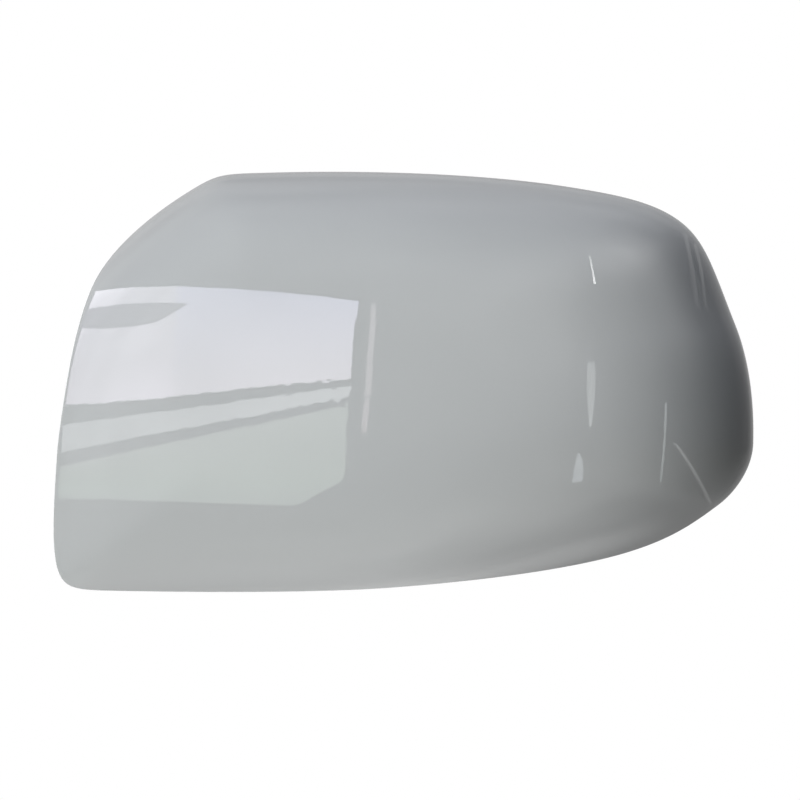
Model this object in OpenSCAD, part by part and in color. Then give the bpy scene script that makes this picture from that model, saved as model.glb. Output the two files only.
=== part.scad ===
// Wing mirror cover for the left door mirror of a family car: one thin moulded plastic shell,
// painted outside, that clips over the front of the mirror housing.
// +Z is up, +X points away from the car, and the painted face looks toward -Y.
// The shape is set out from the crown, the most forward point of the painted face. Rays run from
// the crown to the rim, and each ray carries one section of the shell.
// The origin of the finished part is the shoulder of the main locating peg.

/* [Outline] */

// Length from the inboard edge to the outboard tip
cover_l = 236.5; // [205:0.1:270]
// Height from the bottom edge to the top edge
cover_h = 141.4; // [120:0.1:165]

/* [Depth of the rim behind the crown] */

// At the outboard tip
rim_out = 78; // [60:0.5:95]
// At the top edge
rim_top = 62; // [48:0.5:75]
// At the inboard edge, where the cover stops short at the mirror arm
rim_in = 17; // [13:0.5:24]
// At the bottom edge, where the lower half of the housing takes over
rim_bottom = 23; // [17:0.5:32]

/* [Surface] */

// Radius of the slow crown along the length
crown_r_l = 900; // [700:10:1500]
// Radius of the slow crown along the height
crown_r_h = 520; // [400:10:900]

/* [Wall] */

// Wall thickness
wall = 2.5; // [2:0.1:3.2]
// Thickness of the thinned lip that locates on the housing
lip_t = 1.5; // [1.2:0.1:1.8]
// Width of the thinned lip
lip_w = 4; // [2.5:0.1:6]

/* [Locating pegs] */

// Depth of the peg shoulders behind the crown
shoulder_y = 26; // [20:0.5:32]
// Radius of the main peg
peg_r = 3; // [2.5:0.1:4]
// Radius of the second peg
peg_2_r = 2.5; // [2:0.1:3]
// Straight length of a peg above its shoulder
peg_len = 10; // [6:0.5:14]
// Radius of the boss under a peg
boss_r = 5.5; // [5:0.1:7]

/* [Ribs] */

// Rib height above the inner face
rib_h = 4; // [2:0.1:6]
// Rib thickness
rib_t = 1.4; // [1:0.1:1.8]

/* [Snap hooks] */

// Width of a hook
hook_w = 13; // [10:0.5:18]
// Tongue thickness
hook_t = 2; // [1.6:0.1:2.4]
// Clear gap between the tongue and the wall
hook_gap = 3.5; // [2.5:0.1:5]
// Length of the tongue in front of the rim
hook_root = 15; // [11:0.5:20]
// Length of the tongue past the rim
hook_past = 6; // [4:0.5:9]
// Reach of the barb
barb = 1.8; // [1.2:0.1:2.4]

/* [Hidden] */

$fn = 48;

// Rim seen from the front, drawn about the crown as 12 smooth curves. Each row is a joint:
// x, z, heading in degrees, lead before the joint and lead after it.
rim_joints = [
    [155.4, -17.0, 88.3, 8.7, 22.8],
    [149.4, 23.2, 111.7, 4.1, 25.3],
    [123.6, 62.9, 154.4, 16.0, 9.9],
    [93.1, 70.5, 171.1, 9.5, 26.9],
    [-11.4, 75.4, 181.6, 38.7, 13.8],
    [-35.2, 70.8, 210.7, 8.3, 12.0],
    [-69.0, 36.9, 248.7, 16.6, 14.1],
    [-79.5, -17.3, 265.4, 4.0, 47.0],
    [-66.0, -65.1, 356.9, 14.6, 1.2],
    [34.0, -64.1, 364.2, 37.3, 29.8],
    [111.7, -53.8, 375.7, 19.8, 15.5],
    [143.0, -38.3, 395.7, 10.6, 7.6]
];

// The face rolls over to the rim from a smooth oval about the crown. Toward the outboard, top,
// inboard and bottom sides: half lengths of the oval, and the share of a quarter turn of the roll
oval = [98, 57, 56, 44];
turning = [0.998, 0.995, 0.86, 0.84];

// Roundness of the oval, 2 for an ellipse, and the share of the roll's depth reached on it. That
// share is taken from a full roll of its own flatness.
oval_power = 2.3;
oval_drop = 0.15;
oval_flatness = 4;

// Flatness of the roll toward the same four sides, and the oval's share in the flatness of a ray.
// Together they keep the face full, with no hollow toward the corners.
side_flatness = [3.1, 4.6, 4.9, 4.6];
oval_share = 0.45;

// Rows of the mesh from the crown to the rim, and how strongly they gather toward the rim
outer_rows = 24;
inner_rows = 12;
gather = 1.35;

// Rays of the mesh. They stand closer together where the rim turns: a turn of one degree counts
// as much as this length of rim.
rays = 96;
turn_worth = 1.2;
fine = 32;

// The face turns down to the lip over a little more than the lip's own width
lip_blend = 1.15;

main_peg = [58, 12];
second_peg = [-46, -28];
peg_tip = 1.2;
peg_tip_in = 0.7;
gusset_t = 1.6;
gusset_foot = 6;
gusset_drop = 3;
gusset_toe = 1;
gusset_in = 0.5;

// How far one form is sunk into the next
sink = 1;

rib_x = [-46, 6, 58];
rib_z = [-28, 12];
rib_reach_x = [-66, 104];
rib_reach_z = [-54, 60];
rib_fade = 12;
rib_step = 9;
rib_end = 0.4;

// Directions of the snap hooks about the crown, in degrees from outboard toward the top
hook_dirs = [8, 46, 94, 137, 191, 236, 302, 333];
web_t = 1.8;
web_inset = 5;
web_edge = 0.5;
barb_len = 4;
barb_nose = 0.8;
barb_back = 0.5;
tongue_chamfer = 0.6;

// Furthest that the search for the wall goes in from the rim, and its length of step
search_reach = 40;
search_step = 0.4;

function unit(v) = v / norm(v);
function heading(a) = [cos(a), sin(a)];
function lerp(a, b, t) = a + (b - a) * t;

// Outline of the rim, first drawn finely
function curve(p, q, r, s, t) =
    pow(1 - t, 3) * p + 3 * pow(1 - t, 2) * t * q + 3 * (1 - t) * t * t * r + pow(t, 3) * s;
function rim_curve(a, b) = [
    for (j = [0 : fine - 1])
        curve(
            [a[0], a[1]],
            [a[0], a[1]] + a[4] * heading(a[2]),
            [b[0], b[1]] - b[3] * heading(b[2]),
            [b[0], b[1]],
            j / fine
        )
];
joints = len(rim_joints);
drawn = [
    for (i = [0 : joints - 1])
        each rim_curve(rim_joints[i], rim_joints[(i + 1) % joints])
];
drawn_x = [for (p = drawn) p.x];
drawn_z = [for (p = drawn) p.y];
scale_x = cover_l / (max(drawn_x) - min(drawn_x));
scale_z = cover_h / (max(drawn_z) - min(drawn_z));
traced = [for (p = drawn) [p.x * scale_x, p.y * scale_z]];

// Then met by the rays at equal steps of length and turn together
function traced_at(i) = traced[(i + len(traced)) % len(traced)];
function turn_at(i) =
    let (u = traced_at(i) - traced_at(i - 1), v = traced_at(i + 1) - traced_at(i))
    acos(min(1, u * v / (norm(u) * norm(v))));
function worth(i) =
    norm(traced_at(i + 1) - traced_at(i)) + turn_worth * (turn_at(i) + turn_at(i + 1)) / 2;
worths = [for (i = [0 : len(traced) - 1]) worth(i)];
walked = [for (i = 0, w = 0; i <= len(traced); w = w + (i < len(traced) ? worths[i] : 0), i = i + 1) w];
walked_x = [for (i = [0 : len(traced)]) [walked[i], traced_at(i).x]];
walked_z = [for (i = [0 : len(traced)]) [walked[i], traced_at(i).y]];
whole_walk = walked[len(traced)];
rim = [
    for (i = [0 : rays - 1])
        [lookup(i / rays * whole_walk, walked_x), lookup(i / rays * whole_walk, walked_z)]
];

// Blend of the values of the four sides at a rim point
function side_share(q) =
    let (
        v = unit([q.x / cover_l, q.y / cover_h]),
        w = [for (s = [v.x, v.y, -v.x, -v.y]) pow(max(s, 0), 3)]
    )
    w / (w[0] + w[1] + w[2] + w[3]);

// Depth of the slow crown at a point of the face
function crown(p) = p.x * p.x / (2 * crown_r_l) + p.y * p.y / (2 * crown_r_h);

// Distance of the oval from the crown, in the direction of a rim point
function oval_reach(q) =
    let (
        v = unit(q),
        a = (v.x > 0 ? oval[0] : oval[2]) * scale_x,
        b = (v.y > 0 ? oval[1] : oval[3]) * scale_z
    )
    pow(pow(abs(v.x) / a, oval_power) + pow(abs(v.y) / b, oval_power), -1 / oval_power);

// A ray is its rim point, the depth of its roll, its flatness and its turning. Its flatness is a
// mean of the power that brings the roll to its set depth on the oval and of the sides' own.
function oval_fit(q, turned) =
    let (drop = oval_drop * roll(turned, oval_flatness))
    ln(1 - pow(1 - drop, 2)) / ln(turned * oval_reach(q) / norm(q));
function flatness(q, w, turned) =
    oval_share * oval_fit(q, turned) + (1 - oval_share) * (w * side_flatness);
function ray_at(q) =
    let (w = side_share(q), turned = w * turning)
    [q, w * [rim_out, rim_top, rim_in, rim_bottom] - crown(q), flatness(q, w, turned), turned];
cover_rays = [for (q = rim) ray_at(q)];

function roll(f, flat) = 1 - sqrt(max(0, 1 - pow(f, flat)));
function roll_share(r, f) = roll(f * r[3], r[2]) / roll(r[3], r[2]);
function depth(r, f) = crown(f * r[0]) + r[1] * roll_share(r, f);
function on_face(r, f) = [f * r[0].x, depth(r, f), f * r[0].y];

// Share of a ray at which the way walked along its section is the share s of the whole
function way(r, f) = norm(r[0]) * f + r[1] * roll_share(r, f);
function share_of_way(r, s, lo = 0, hi = 1, n = 16) =
    n == 0 ? (lo + hi) / 2 :
    let (m = (lo + hi) / 2)
    way(r, m) < s * way(r, 1) ? share_of_way(r, s, m, hi, n - 1) : share_of_way(r, s, lo, m, n - 1);

// Direction into the wall, square to the painted face
function inward(i, f) =
    let (
        before = cover_rays[(i + rays - 1) % rays],
        after = cover_rays[(i + 1) % rays],
        here = cover_rays[i],
        along_rim = on_face(after, f) - on_face(before, f),
        along_ray = on_face(here, f) - on_face(here, f - 0.002)
    )
    unit(cross(along_rim, along_ray));

function row_share(j, rows) = 1 - pow(1 - j / rows, gather);
function outer_ring(j) = [
    for (r = cover_rays) on_face(r, j == outer_rows ? 1 : share_of_way(r, row_share(j, outer_rows)))
];
function lip_share(r) = 1 - lip_w * lip_blend / way(r, 1);
function inner_point(i, s, t) =
    let (f = s >= 1 ? 1 : share_of_way(cover_rays[i], s))
    on_face(cover_rays[i], f) + t * inward(i, f);
function inner_ring(j) = [
    for (i = [0 : rays - 1])
        inner_point(i, row_share(j, inner_rows) * lip_share(cover_rays[i]), wall)
];
function lip_ring(s, t) = [
    for (i = [0 : rays - 1]) inner_point(i, s < 1 ? lip_share(cover_rays[i]) : 1, t)
];

// Rounded nose of the rim, half the lip thick and a little past both edges
function nose_point(i) =
    let (
        r = cover_rays[i],
        past = unit(on_face(r, 1) - on_face(r, 0.996))
    )
    on_face(r, 1) + lip_t / 2 * inward(i, 1) + lip_t / 3 * past;
nose_ring = [for (i = [0 : rays - 1]) nose_point(i)];

// Skin of triangles over rings of points, closed by one point at each end. Each four-sided patch
// is split along the diagonal that keeps the painted side convex.
function patch(points, a, b, c, d, side) =
    let (n = cross(points[c] - points[a], points[d] - points[b]))
    side * (points[a] + points[c] - points[b] - points[d]) * n < 0 ?
        [[a, b, c], [a, c, d]] : [[a, b, d], [b, c, d]];
function ring_faces(points, first, second, side) = [
    for (i = [0 : rays - 1])
        let (k = (i + 1) % rays)
            each patch(points, first + i, first + k, second + k, second + i, side)
];
function cap_faces(tip, ring, flip) = [
    for (i = [0 : rays - 1])
        let (k = (i + 1) % rays)
            flip ? [tip, ring + i, ring + k] : [tip, ring + k, ring + i]
];

module shell() {
    rings = concat(
        [for (j = [1 : outer_rows]) outer_ring(j)],
        [nose_ring],
        [lip_ring(1, lip_t), lip_ring(0, lip_t)],
        [for (j = [inner_rows : -1 : 1]) inner_ring(j)]
    );
    last = len(rings) - 1;
    points = concat([for (g = rings) each g], [[0, 0, 0], [0, wall, 0]]);
    outer_tip = len(points) - 2;
    inner_tip = len(points) - 1;
    faces = concat(
        cap_faces(outer_tip, 0, false),
        [
            for (j = [0 : last - 1])
                each ring_faces(points, j * rays, (j + 1) * rays, j < outer_rows ? 1 : -1)
        ],
        cap_faces(inner_tip, last * rays, true)
    );
    polyhedron(points, faces);
}

// Ray through any point of the face, found between its two neighbours in the mesh
function turn_of(a, b) = a.x * b.y - a.y * b.x;
function ray_through(p) =
    let (
        hits = [
            for (i = [0 : rays - 1])
                let (a = rim[i], b = rim[(i + 1) % rays])
                    if (turn_of(a, p) >= 0 && turn_of(p, b) > 0) i
        ],
        a = rim[hits[0]],
        b = rim[(hits[0] + 1) % rays],
        t = turn_of(a, p) / (turn_of(a, p) + turn_of(p, b))
    )
    ray_at(lerp(a, b, t));
function face_y(p) =
    let (r = ray_through(p))
    depth(r, norm(p) / norm(r[0]));

// How far in from a rim point the face is y deep, walking against the outward direction out
function step_in(q, out, y, lo = 0, hi = search_reach, n = 14) =
    n == 0 ? (lo + hi) / 2 :
    let (m = (lo + hi) / 2)
    face_y(q - m * out) > y ? step_in(q, out, y, m, hi, n - 1) : step_in(q, out, y, lo, m, n - 1);

// Middle of the wall there, as the outward distance from the rim point and the depth
function mid_wall(q, out, y) =
    let (
        here = [-step_in(q, out, y), y],
        above = [-step_in(q, out, y - search_step), y - search_step],
        run = unit(here - above)
    )
    here + wall / 2 * [-run.y, run.x];

// Upright plate square to the rim, from a polygon of outward distance and depth
module rim_plate(q, out, t) {
    translate([q.x, 0, q.y])
        rotate([0, -atan2(out.y, out.x), 0])
            linear_extrude(t, center = true)
                children();
}

module boss(p, r) {
    foot_y = face_y(p) + wall / 2;
    translate([p.x, foot_y, p.y])
        rotate([-90, 0, 0])
            cylinder(r = boss_r, h = shoulder_y - foot_y);
    translate([p.x, shoulder_y - sink, p.y])
        rotate([-90, 0, 0])
            cylinder(r = r, h = peg_len + sink);
    translate([p.x, shoulder_y + peg_len, p.y])
        rotate([-90, 0, 0])
            cylinder(r1 = r, r2 = r - peg_tip_in, h = peg_tip);
    for (a = [45 : 90 : 315])
        translate([p.x, 0, p.y])
            rotate([0, -a, 0])
                linear_extrude(gusset_t, center = true)
                    gusset(p, a);
}

// Triangular gusset from the boss out over the inner face
module gusset(p, a) {
    foot = boss_r + gusset_foot;
    polygon([
        [boss_r / 2, face_y(p + boss_r / 2 * heading(a)) + wall / 2],
        [foot, face_y(p + foot * heading(a)) + wall / 2],
        [foot, face_y(p + foot * heading(a)) + wall + gusset_toe],
        [boss_r - gusset_in, shoulder_y - gusset_drop],
        [boss_r / 2, shoulder_y - gusset_drop]
    ]);
}

// Low rib that follows the inner face from one reach to the other and fades out at both ends
function rib_rise(s, reach) = min(1, (s - reach[0]) / rib_fade, (reach[1] - s) / rib_fade);
function rib_stops(reach) =
    let (n = ceil((reach[1] - reach[0]) / rib_step))
    [for (j = [0 : n]) lerp(reach[0], reach[1], j / n)];
module rib(reach, at, upright) {
    stops = rib_stops(reach);
    root = [for (s = stops) [s, face_y(upright ? [at, s] : [s, at]) + wall / 2]];
    crest = [
        for (j = [len(stops) - 1 : -1 : 0])
            root[j] + [0, lerp(rib_end, wall / 2 + rib_h, rib_rise(stops[j], reach))]
    ];
    translate(upright ? [at, 0, 0] : [0, 0, at])
        rotate([0, upright ? -90 : 0, 0])
            linear_extrude(rib_t, center = true)
                polygon(concat(root, crest));
}

// Snap hook beside the rim: a tongue on two webs with a barb at its free end
module hook(dir) {
    q = ray_through(heading(dir))[0];
    tangent = unit(ray_through(heading(dir + 1))[0] - ray_through(heading(dir - 1))[0]);
    out = [tangent.y, -tangent.x];
    rim_y = face_y(0.9999 * q);
    set_in = wall + hook_gap + hook_t;
    wall_y = max([
        for (side = [-1, 1], step = [hook_t, 0])
            face_y(q - (set_in - step) * out + side * hook_w / 2 * tangent)
    ]);
    root_y = max(rim_y - hook_root, wall_y + wall / 2);
    tip_y = rim_y + hook_past;
    rim_plate(q - set_in * out, out, hook_w)
        polygon([
            [0, root_y],
            [hook_t, root_y],
            [hook_t, tip_y - tongue_chamfer],
            [hook_t - tongue_chamfer, tip_y],
            [0, tip_y],
            [-barb, tip_y - barb_len + barb_nose],
            [-barb, tip_y - barb_len],
            [0, tip_y - barb_len - barb_back]
        ]);
    for (side = [-1, 1]) {
        foot = ray_through(q + side * (hook_w / 2 - web_t / 2 - web_edge) * tangent)[0];
        low = root_y - wall;
        high = rim_y - web_inset;
        rim_plate(foot, out, web_t)
            polygon(concat(
                [for (j = [0 : 4]) mid_wall(foot, out, lerp(low, high, j / 4))],
                [[-set_in + hook_t / 2, max(high, root_y + sink)], [-set_in + hook_t / 2, root_y]]
            ));
    }
}

module mirror_cover() {
    color([0.69, 0.71, 0.72])
        translate([-main_peg.x, -shoulder_y, -main_peg.y]) {
            shell();
            boss(main_peg, peg_r);
            boss(second_peg, peg_2_r);
            for (x = rib_x)
                rib(rib_reach_z, x, true);
            for (z = rib_z)
                rib(rib_reach_x, z, false);
            for (d = hook_dirs)
                hook(d);
        }
}

mirror_cover();
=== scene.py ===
"""The wing mirror cover in its finished look: gloss paint outside, bare moulding behind."""

from math import atan2, cos, exp, pi, radians, sin

import bmesh
import bpy
import numpy as np
from bpy.props import FloatProperty, FloatVectorProperty, IntProperty, PointerProperty
from bpy.types import Operator, Panel, PropertyGroup
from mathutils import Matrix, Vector
from mathutils.bvhtree import BVHTree
from mathutils.interpolate import poly_3d_calc
from mathutils.kdtree import KDTree


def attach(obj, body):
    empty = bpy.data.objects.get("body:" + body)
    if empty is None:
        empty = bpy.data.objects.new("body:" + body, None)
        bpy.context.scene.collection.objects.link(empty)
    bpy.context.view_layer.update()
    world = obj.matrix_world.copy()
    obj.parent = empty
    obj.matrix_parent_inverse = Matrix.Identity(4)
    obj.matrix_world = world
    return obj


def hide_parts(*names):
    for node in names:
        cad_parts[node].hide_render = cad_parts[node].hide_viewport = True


bl_info = {
    "name": "Wing mirror cover",
    "version": (1, 0, 0),
    "blender": (4, 5, 0),
    "location": "3D View > Sidebar > Mirror Cover",
    "description": "Dresses the packed wing mirror cover in paint and bare moulding",
    "category": "Add Mesh",
}

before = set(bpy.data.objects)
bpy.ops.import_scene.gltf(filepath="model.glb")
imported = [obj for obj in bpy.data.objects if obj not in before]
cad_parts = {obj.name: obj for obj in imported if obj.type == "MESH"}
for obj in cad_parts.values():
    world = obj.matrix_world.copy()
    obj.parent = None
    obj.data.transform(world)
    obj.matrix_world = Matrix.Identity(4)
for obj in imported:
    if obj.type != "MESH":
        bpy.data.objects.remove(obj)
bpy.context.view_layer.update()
BODY = "root"
NODE = "mirror_cover"
MM = 0.001

# Rim seen from the front, about the crown: x, z, heading, lead before and lead after, in
# millimetres and degrees
RIM_JOINTS = [
    (155.4, -17.0, 88.3, 8.7, 22.8),
    (149.4, 23.2, 111.7, 4.1, 25.3),
    (123.6, 62.9, 154.4, 16.0, 9.9),
    (93.1, 70.5, 171.1, 9.5, 26.9),
    (-11.4, 75.4, 181.6, 38.7, 13.8),
    (-35.2, 70.8, 210.7, 8.3, 12.0),
    (-69.0, 36.9, 248.7, 16.6, 14.1),
    (-79.5, -17.3, 265.4, 4.0, 47.0),
    (-66.0, -65.1, 356.9, 14.6, 1.2),
    (34.0, -64.1, 364.2, 37.3, 29.8),
    (111.7, -53.8, 375.7, 19.8, 15.5),
    (143.0, -38.3, 395.7, 10.6, 7.6),
]

# The oval that the face rolls over from, and the share of a quarter turn of the roll, toward the
# outboard, top, inboard and bottom sides
OVAL = (0.098, 0.057, 0.056, 0.044)
OVAL_POWER = 2.3
OVAL_DROP = 0.15
OVAL_FLATNESS = 4
TURNING = (0.998, 0.995, 0.86, 0.84)

# Flatness of the roll toward the same sides, and the oval's share in the flatness of a ray
SIDE_FLATNESS = (3.1, 4.6, 4.9, 4.6)
OVAL_SHARE = 0.45

# Pegs as x and z about the crown, and the hooks' directions about it in degrees
MAIN_PEG = (0.058, 0.012)
SECOND_PEG = (-0.046, -0.028)
HOOK_DIRECTIONS = (8, 46, 94, 137, 191, 236, 302, 333)

# Ribs as the lines they stand on and how far they reach, in metres about the crown
UPRIGHT_RIBS = ((-0.046, 0.006, 0.058), (-0.054, 0.060))
LONG_RIBS = ((-0.028, 0.012), (-0.066, 0.104))

# Shares of a rib's thickness at its top and in its rounding, the share of its height at its ends
# and the length over which it comes down to them
RIB_TOP = 0.72
RIB_ROUNDING = 0.25
RIB_END = 0.05
RIB_FADE = 0.012

# Small sizes of the bosses, pegs and gussets, in metres, and the gussets' directions
BOSS_ROUNDING = 0.0014
SHOULDER_EDGE = 0.0004
PEG_TAPER = 0.0007
GUSSET_DIRECTIONS = (45, 135, 225, 315)
GUSSET_REACH = 0.006
GUSSET_END = 0.001
GUSSET_TOP = -0.003
GUSSET_INSET = 0.0005
PEG_BEVEL = 0.00018

# Small sizes of the hooks, in metres. A tongue is made longer than needed and cut at its root.
WEB_THICKNESS = 0.0018
WEB_INSET = 0.0005
WEB_END = 0.005
BARB_LENGTH = 0.004
TONGUE_LENGTH = 0.03
WEB_BEVEL = 0.00015
TONGUE_BEVEL = 0.00022

# Degrees that the paint turns round the rim, and from which on edges are rounded and stay sharp
PAINTED_TURN = 130
ROUNDED_ANGLE = 35
SHARP_ANGLE = 38

# The point of the picture that faces the lens, and its scale in pixels for a metre at a metre
PICTURE_CENTRE = (404.0, 382.0)
PICTURE_SCALE = 1460.0 / 0.336
PICTURE_SIZE = 800.0


def length(name, text, value, low=0.0, high=1.0):
    """A length in metres with its name and what it means."""
    return FloatProperty(
        name=name, description=text, default=value, min=low, max=high, unit="LENGTH", precision=5
    )


def tint(name, text, value):
    """A colour with its name and what it means."""
    return FloatVectorProperty(
        name=name, description=text, default=value, size=3, min=0.0, max=1.0, subtype="COLOR"
    )


class CoverShape(PropertyGroup):
    """Sizes of the shell, with its rim's depths behind the crown"""

    rim_out: length("Outboard depth", "Depth of the rim at the tip", 0.078)
    rim_top: length("Top depth", "Depth of the rim at the top", 0.062)
    rim_in: length("Inboard depth", "Depth of the rim at the mirror arm", 0.017)
    rim_bottom: length("Bottom depth", "Depth of the rim at the bottom", 0.023)
    crown_r_l: length("Crown along the length", "Radius of the slow crown", 0.9, 0.5, 3.0)
    crown_r_h: length("Crown along the height", "Radius of the slow crown", 0.52, 0.3, 3.0)
    wall: length("Wall", "Wall thickness", 0.0025, 0.001, 0.01)
    lip_t: length("Lip thickness", "Thickness of the thinned lip", 0.0015, 0.0005, 0.01)
    lip_w: length("Lip width", "Width of the thinned lip", 0.004, 0.001, 0.02)
    shoulder: length("Peg shoulder", "Depth of the peg shoulders behind the crown", 0.026)
    rays: IntProperty(name="Rays", description="From the crown to the rim", default=360, min=48)
    rows: IntProperty(name="Rows", description="From the crown to the rim", default=96, min=12)


class FittingShape(PropertyGroup):
    """Sizes of the pegs, ribs and hooks behind the shell"""

    peg_r: length("Main peg radius", "Radius of the main peg", 0.003)
    peg_2_r: length("Second peg radius", "Radius of the second peg", 0.0025)
    peg_len: length("Peg length", "Straight length of a peg above its shoulder", 0.010)
    peg_tip: length("Peg tip", "Length of the tapered tip of a peg", 0.0012)
    boss_r: length("Boss radius", "Radius of the boss under a peg", 0.0055)
    gusset_t: length("Gusset thickness", "Thickness of the gussets round a boss", 0.0016)
    rib_h: length("Rib height", "Height of a rib above the inner face", 0.004)
    rib_t: length("Rib thickness", "Thickness of a rib at its root", 0.0014)
    hook_w: length("Hook width", "Width of a hook", 0.013)
    hook_t: length("Tongue thickness", "Thickness of a hook's tongue", 0.002)
    hook_gap: length("Hook gap", "Clear gap between a tongue and the wall", 0.0035)
    hook_root: length("Hook root", "Length of a tongue in front of the rim", 0.015)
    hook_past: length("Hook reach", "Length of a tongue past the rim", 0.006)
    barb: length("Barb", "Reach of the barb", 0.0018)


class CoverFinish(PropertyGroup):
    """Colours and gloss of the paint and of the moulding under it"""

    paint: tint("Paint", "Colour of the gloss paint", (0.437, 0.456, 0.456))
    moulding: tint("Moulding", "Colour of the bare plastic inside", (0.028, 0.029, 0.031))
    peel: length("Orange peel", "Depth of the ripple in the paint", 0.000004, 0.0, 0.001)
    grain: length("Grain", "Depth of the moulding's grain", 0.00003, 0.0, 0.001)
    mist: length("Mist", "How far the paint mist reaches in behind the rim", 0.011, 0.0, 0.1)


class StageLook(PropertyGroup):
    """Camera, lamps and the room that shows in the paint"""

    distance: length("Camera distance", "From the lens to the outboard rim", 1.5, 0.3, 10.0)
    floor_drop: length("Floor drop", "How far the floor lies below the pegs", 0.35, 0.1, 3.0)
    room: length("Room", "Distance of the window that shows in the paint", 2.5, 0.5, 10.0)
    lamp_distance: length("Lamp distance", "From the object to each lamp", 2.4, 0.5, 10.0)
    level: FloatProperty(
        name="Lamps", description="Strength of all the lamps", default=1.0, min=0.0
    )


class CoverSettings(PropertyGroup):
    """All settings of the cover"""

    shape: PointerProperty(type=CoverShape)
    fittings: PointerProperty(type=FittingShape)
    finish: PointerProperty(type=CoverFinish)
    stage: PointerProperty(type=StageLook)


def settings():
    return bpy.context.scene.mirror_cover


def operator(operation, swapped=False):
    """A Python operator that adds a math node for the two values."""

    def made(self, other):
        return self.of(operation, *((other, self) if swapped else (self, other)))

    return made


class Socket:
    """A value of a node tree that takes part in Python expressions."""

    def __init__(self, graph, socket):
        self.graph, self.socket = graph, socket

    def of(self, operation, *values):
        return self.graph.node("ShaderNodeMath", {"operation": operation}, dict(enumerate(values)))

    __add__ = __radd__ = operator("ADD")
    __mul__ = __rmul__ = operator("MULTIPLY")
    __sub__, __rsub__ = operator("SUBTRACT"), operator("SUBTRACT", swapped=True)
    __truediv__, __rtruediv__ = operator("DIVIDE"), operator("DIVIDE", swapped=True)
    __pow__ = operator("POWER")
    __gt__ = operator("GREATER_THAN")
    __lt__ = operator("LESS_THAN")
    above = operator("MAXIMUM")

    def __abs__(self):
        return self.of("ABSOLUTE", self)

    def called(self, function):
        return self.of(function, self)

    def log(self):
        return self.of("LOGARITHM", self, exp(1.0))

    def ramp(self, start, end):
        """0 up to the start, 1 from the end on, and a smooth rise between them."""
        return self.graph.node(
            "ShaderNodeMapRange",
            {"interpolation_type": "SMOOTHSTEP"},
            {"Value": self, "From Min": start, "From Max": end},
        )


class Graph:
    """A node tree and the one way in which nodes are added to it."""

    def __init__(self, tree):
        self.tree = tree

    def fill(self, socket, value):
        """Links a value to a socket, or sets the socket to it."""
        if isinstance(value, Socket):
            self.tree.links.new(value.socket, socket)
        else:
            socket.default_value = value

    def node(self, kind, setting=None, given=None, output=0):
        """A node by its type, its settings and the values or links of its sockets."""
        made = self.tree.nodes.new(kind)
        for key, value in (setting or {}).items():
            setattr(made, key, value)
        for key, value in (given or {}).items():
            self.fill(made.inputs[key], value)
        return Socket(self, made.outputs[output])

    def vector(self, operation, *values, output="Vector"):
        given = dict(enumerate(values))
        if operation == "SCALE":
            given = {0: values[0], "Scale": values[1]}
        return self.node("ShaderNodeVectorMath", {"operation": operation}, given, output)

    def parts(self, vector):
        split = self.node("ShaderNodeSeparateXYZ", given={0: vector}).socket.node
        return [Socket(self, s) for s in split.outputs]

    def joined(self, x, y, z):
        return self.node("ShaderNodeCombineXYZ", given={0: x, 1: y, 2: z})


class Maker(Graph):
    """A geometry tree with named inputs, run once on a mesh."""

    def __init__(self, name, lengths=(), objects=(), materials=("moulding",)):
        super().__init__(bpy.data.node_groups.new(name, "GeometryNodeTree"))
        face = self.tree.interface
        face.new_socket("Geometry", in_out="INPUT", socket_type="NodeSocketGeometry")
        face.new_socket("Geometry", in_out="OUTPUT", socket_type="NodeSocketGeometry")
        self.names = {}
        for kind, keys in ("Float", lengths), ("Object", objects), ("Material", materials):
            for key in keys:
                label = key.replace("_", " ").capitalize()
                made = face.new_socket(label, in_out="INPUT", socket_type="NodeSocket" + kind)
                self.names[key] = made.identifier
        entry = self.tree.nodes.new("NodeGroupInput")
        self.geometry = Socket(self, entry.outputs[0])
        self.inputs = {k: Socket(self, s) for k, s in zip(self.names, entry.outputs[1:])}

    def step(self, kind, setting=None, output=0, **given):
        """A geometry node by its kind, its settings and its sockets' names in lower case."""
        given = {key.replace("_", " ").title(): value for key, value in given.items()}
        return self.node("GeometryNode" + kind, setting, given, output)

    def attribute(self, name, kind="FLOAT"):
        return self.step("InputNamedAttribute", {"data_type": kind}, name=name)

    def position(self):
        return self.step("InputPosition")

    def moved(self, geometry, position):
        return self.step("SetPosition", geometry=geometry, position=position)

    def stored(self, geometry, name, value):
        setting = {"data_type": "FLOAT", "domain": "POINT"}
        return self.step("StoreNamedAttribute", setting, geometry=geometry, name=name, value=value)

    def of_object(self, key):
        return self.step("ObjectInfo", output="Geometry", object=self.inputs[key])

    def close(self, geometry, coats=(("moulding", True),)):
        """Ends the tree in realized, smooth geometry with its materials."""
        made = self.step("RealizeInstances", geometry=geometry)
        made = self.step("SetShadeSmooth", {"domain": "FACE"}, geometry=made)
        for key, where in coats:
            coat = self.inputs[key]
            made = self.step("SetMaterial", geometry=made, selection=where, material=coat)
        end = self.tree.nodes.new("NodeGroupOutput")
        self.tree.links.new(made.socket, end.inputs[0])

    def run(self, obj, **values):
        """Applies the tree to an object and leaves it a plain mesh."""
        modifier = obj.modifiers.new("made", "NODES")
        modifier.node_group = self.tree
        for key, value in values.items():
            modifier[self.names[key]] = value
        seen = obj.evaluated_get(bpy.context.evaluated_depsgraph_get())
        plain = bpy.data.meshes.new_from_object(seen)
        obj.modifiers.remove(modifier)
        obj.data = plain
        if not plain.polygons:
            raise RuntimeError(f"{obj.name} came out empty")
        return obj


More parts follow.
